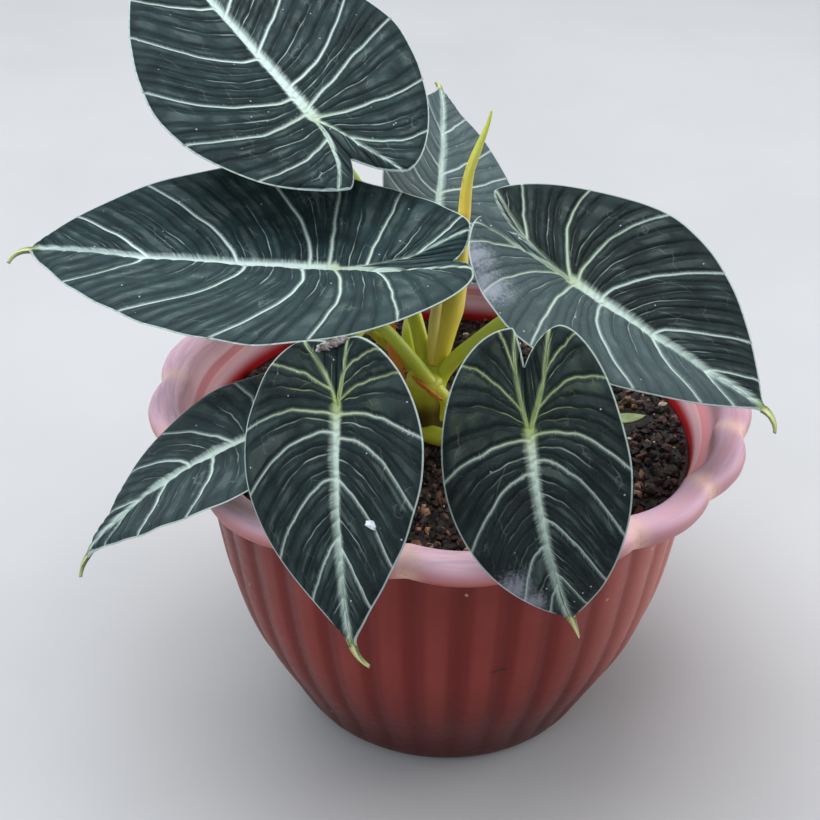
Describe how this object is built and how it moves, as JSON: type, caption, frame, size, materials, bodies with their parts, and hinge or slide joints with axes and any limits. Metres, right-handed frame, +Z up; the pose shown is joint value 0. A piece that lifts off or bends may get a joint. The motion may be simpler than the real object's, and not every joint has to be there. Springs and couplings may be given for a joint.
{
  "type": "potted alocasia",
  "caption": "Alocasia houseplant with dark, pale-veined arrow-shaped leaves on stalks from one crown, in a bowl-shaped plastic pot with a rolled scalloped rim.",
  "frame": {"origin": "centre of the pot's flat underside", "axes": "+Z up, -Y towards the viewer, +X to the viewer's right"},
  "size_m": [0.2422, 0.2835, 0.245],
  "materials": {
    "pot_plastic": "dusty terracotta pink, satin, worn on the roll",
    "potting_soil": "dark, loose and damp",
    "green_stalk": "smooth yellow-green",
    "leaf_blade": "velvety near-black green with silver-green veins",
    "rolled_leaf": "smooth yellow-green",
    "dry_sheath": "dry, papery orange-brown",
    "pale_leaf": "soft pale green"
  },
  "bodies": {
    "root": {"pot": "pot_plastic", "soil": "potting_soil", "stems": "green_stalk", "blade_top": "leaf_blade", "blade_left": "leaf_blade", "blade_back": "leaf_blade", "blade_right": "leaf_blade", "blade_front_left": "leaf_blade", "blade_front_right": "leaf_blade", "blade_low_left": "leaf_blade", "new_leaf": "rolled_leaf", "dry_sheath": "dry_sheath", "fallen_leaf": "pale_leaf"}
  },
  "joints": []
}
